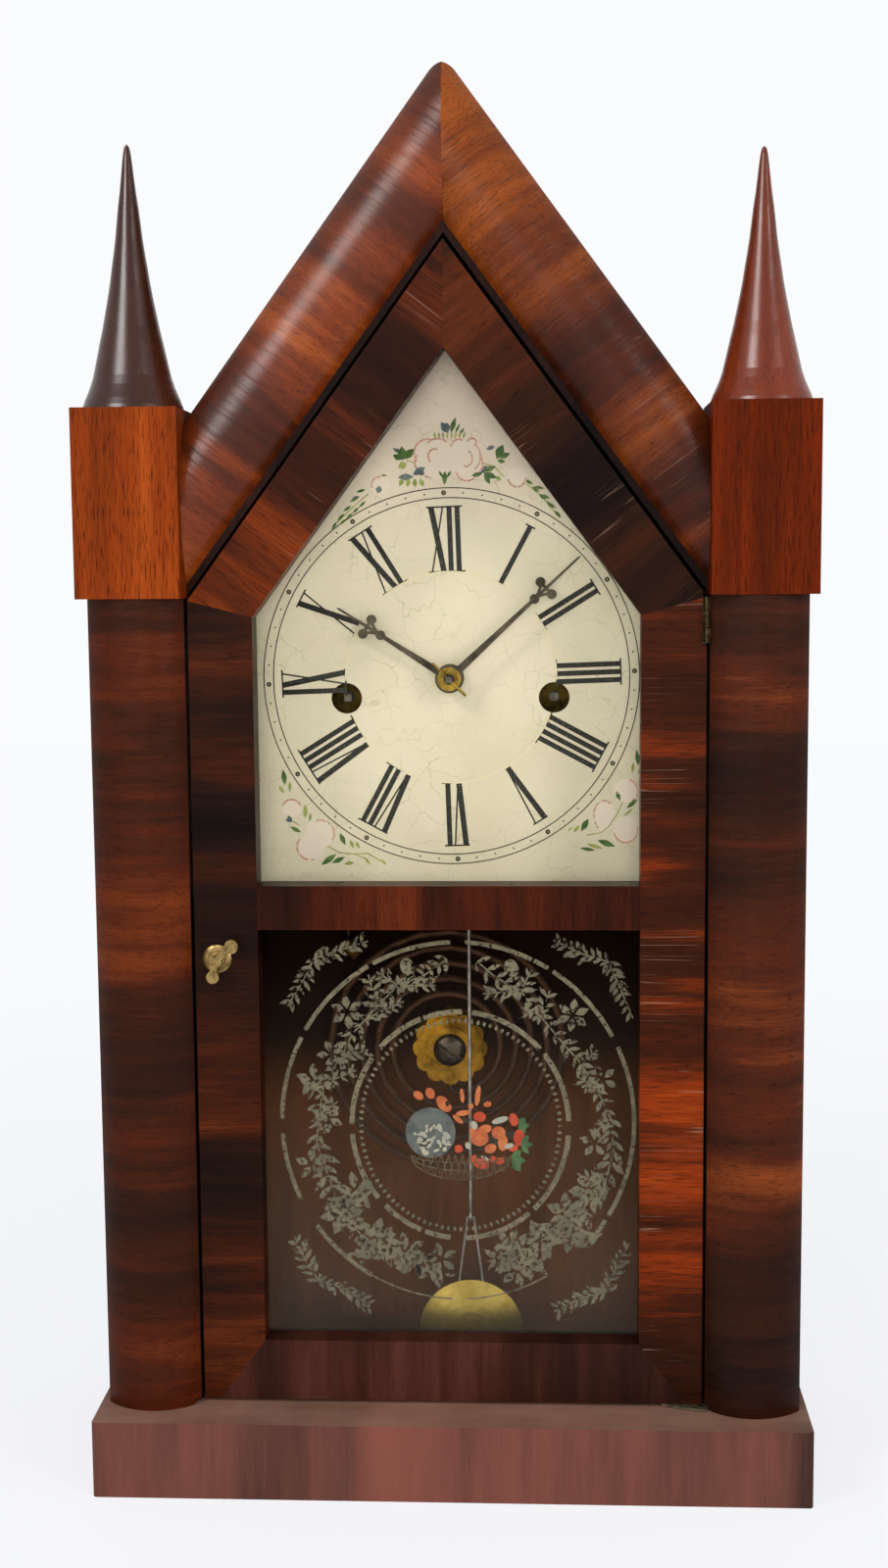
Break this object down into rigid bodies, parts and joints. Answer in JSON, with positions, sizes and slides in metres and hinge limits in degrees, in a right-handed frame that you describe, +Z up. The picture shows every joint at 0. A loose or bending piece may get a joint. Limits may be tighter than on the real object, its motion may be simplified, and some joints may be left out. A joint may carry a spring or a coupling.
{
  "type": "steeple clock",
  "caption": "Steeple clock in dark rosewood veneer with half-round columns, turned steeples, a glazed door, painted dial, floral tablet, brass movement, pendulum and coil gong.",
  "frame": {"origin": "Centre of the base's underside, midway between its sides and between its front and back", "axes": "X to the right seen from the front, Y to the back, Z up"},
  "size_m": [0.261, 0.11, 0.5091],
  "materials": {
    "case_wood": "satin",
    "veneer": "gloss",
    "mahogany": "gloss",
    "soft_wood": "matte",
    "glass": "clear",
    "brass": "aged",
    "steel": "satin",
    "dark_steel": "satin",
    "dial_paint": "aged gloss"
  },
  "bodies": {
    "case": {"base_front_rail": "veneer", "base_rails": "case_wood", "case_floor": "case_wood", "case_sides": "case_wood", "back_board": "case_wood", "roof_boards": "case_wood", "gable_boards": "case_wood", "front_stiles": "case_wood", "column_left": "veneer", "column_right": "veneer", "gable_moulding_left": "veneer", "gable_moulding_right": "veneer", "block_left": "mahogany", "block_right": "mahogany", "steeple_left": "mahogany", "steeple_right": "mahogany", "hinge_fixed_half": "brass", "lower_pivot_pin": "steel", "dial_sheet": "dial_paint", "mounting_blocks": "soft_wood", "fixing_screws": "steel", "movement_plates": "brass", "movement_pillars": "brass", "mainsprings": "steel", "gong_boss": "brass", "gong_coil": "steel"},
    "door": {"door_stile_left": "veneer", "door_stile_right": "veneer", "door_rail_left": "veneer", "door_rail_right": "veneer", "door_crossbar": "veneer", "door_bottom_rail": "veneer", "dial_glass": "glass", "tablet_glass": "glass", "glazing_beads": "veneer", "hinge_door_half": "brass", "lower_pivot_plate": "brass", "latch_rosette": "brass"},
    "latch": {"latch_thumb_piece": "brass"},
    "minute_train": {"minute_arbor": "steel", "minute_hand": "dark_steel", "hand_pin": "brass"},
    "hour_train": {"hour_wheel": "brass", "hour_hand": "dark_steel"},
    "motion": {"motion_wheel": "brass"},
    "intermediate": {"intermediate_wheel": "brass"},
    "third": {"third_wheel": "brass"},
    "escape": {"escape_wheel": "brass"},
    "anchor": {"verge": "steel"},
    "pendulum": {"pendulum_rod": "steel", "pendulum_bob": "brass"},
    "time_barrel": {"time_great_wheel": "brass"},
    "time_winder": {"time_winding_arbor": "steel"},
    "strike_barrel": {"strike_great_wheel": "brass"},
    "strike_winder": {"strike_winding_arbor": "steel"},
    "strike_pins": {"pin_wheel": "brass"},
    "warning": {"warning_wheel": "brass"},
    "strike_fly": {"fly": "brass"},
    "strike_hammer": {"hammer": "brass"}
  },
  "joints": [
    {"name": "door_hinge", "type": "hinge", "parent": "case", "child": "door", "pos_m": [0.09185, -0.0368, 0.17], "axis": [0, 0, 1], "range_deg": [0, 100]},
    {"name": "latch_turn", "type": "hinge", "parent": "door", "child": "latch", "pos_m": [-0.0838, -0.027, 0.1962], "axis": [0, 1, 0], "range_deg": [-32, 58]},
    {"name": "minute_turn", "type": "hinge", "parent": "case", "child": "minute_train", "pos_m": [0, 0.02, 0.2958], "axis": [0, 1, 0], "continuous": true},
    {"name": "hour_turn", "type": "hinge", "parent": "case", "child": "hour_train", "pos_m": [0, 0, 0.2958], "axis": [0, 1, 0], "continuous": true},
    {"name": "motion_turn", "type": "hinge", "parent": "case", "child": "motion", "pos_m": [-0.01128, 0.009, 0.2917], "axis": [0, 1, 0], "continuous": true},
    {"name": "intermediate_turn", "type": "hinge", "parent": "case", "child": "intermediate", "pos_m": [0.01531, 0.02, 0.27931], "axis": [0, 1, 0], "continuous": true},
    {"name": "third_turn", "type": "hinge", "parent": "case", "child": "third", "pos_m": [-0.0096, 0.02, 0.31425], "axis": [0, 1, 0], "continuous": true},
    {"name": "escape_turn", "type": "hinge", "parent": "case", "child": "escape", "pos_m": [0.0062, 0.02, 0.31531], "axis": [0, 1, 0], "continuous": true},
    {"name": "time_barrel_turn", "type": "hinge", "parent": "case", "child": "time_barrel", "pos_m": [0.0386, 0.0345, 0.2884], "axis": [0, 1, 0], "continuous": true},
    {"name": "time_winding_turn", "type": "hinge", "parent": "time_barrel", "child": "time_winder", "pos_m": [0.0386, 0.02, 0.2884], "axis": [0, 1, 0], "continuous": true},
    {"name": "pendulum_swing", "type": "hinge", "parent": "case", "child": "pendulum", "pos_m": [0.0062, -0.0004, 0.33801], "axis": [0, 1, 0], "range_deg": [-2.5, 2.5]},
    {"name": "anchor_rock", "type": "hinge", "parent": "case", "child": "anchor", "pos_m": [0.0062, 0.003, 0.33001], "axis": [0, 1, 0], "range_deg": [-3, 3]},
    {"name": "pin_wheel_turn", "type": "hinge", "parent": "case", "child": "strike_pins", "pos_m": [-0.0261, 0.02, 0.26675], "axis": [0, 1, 0], "continuous": true},
    {"name": "strike_barrel_turn", "type": "hinge", "parent": "case", "child": "strike_barrel", "pos_m": [-0.0386, 0.0345, 0.2884], "axis": [0, 1, 0], "continuous": true},
    {"name": "strike_winding_turn", "type": "hinge", "parent": "strike_barrel", "child": "strike_winder", "pos_m": [-0.0386, 0.02, 0.2884], "axis": [0, 1, 0], "continuous": true},
    {"name": "warning_turn", "type": "hinge", "parent": "case", "child": "warning", "pos_m": [-0.01013, 0.02, 0.26093], "axis": [0, 1, 0], "continuous": true},
    {"name": "fly_turn", "type": "hinge", "parent": "case", "child": "strike_fly", "pos_m": [0.00248, 0.02, 0.26093], "axis": [0, 1, 0], "continuous": true},
    {"name": "hammer_lift", "type": "hinge", "parent": "case", "child": "strike_hammer", "pos_m": [-0.048, 0.024, 0.25605], "axis": [0, 1, 0], "range_deg": [0, 8]}
  ],
  "couplings": [
    {"joint": "hour_turn", "follows": "minute_turn", "ratio": 0.083333},
    {"joint": "motion_turn", "follows": "minute_turn", "ratio": -0.33333},
    {"joint": "intermediate_turn", "follows": "minute_turn", "ratio": -0.5},
    {"joint": "time_barrel_turn", "follows": "minute_turn", "ratio": 0.055556},
    {"joint": "third_turn", "follows": "minute_turn", "ratio": -12},
    {"joint": "escape_turn", "follows": "minute_turn", "ratio": 120},
    {"joint": "anchor_rock", "follows": "pendulum_swing", "ratio": 1.2},
    {"joint": "strike_barrel_turn", "follows": "pin_wheel_turn", "ratio": -0.11111},
    {"joint": "warning_turn", "follows": "pin_wheel_turn", "ratio": -7.5},
    {"joint": "fly_turn", "follows": "pin_wheel_turn", "ratio": 45}
  ]
}
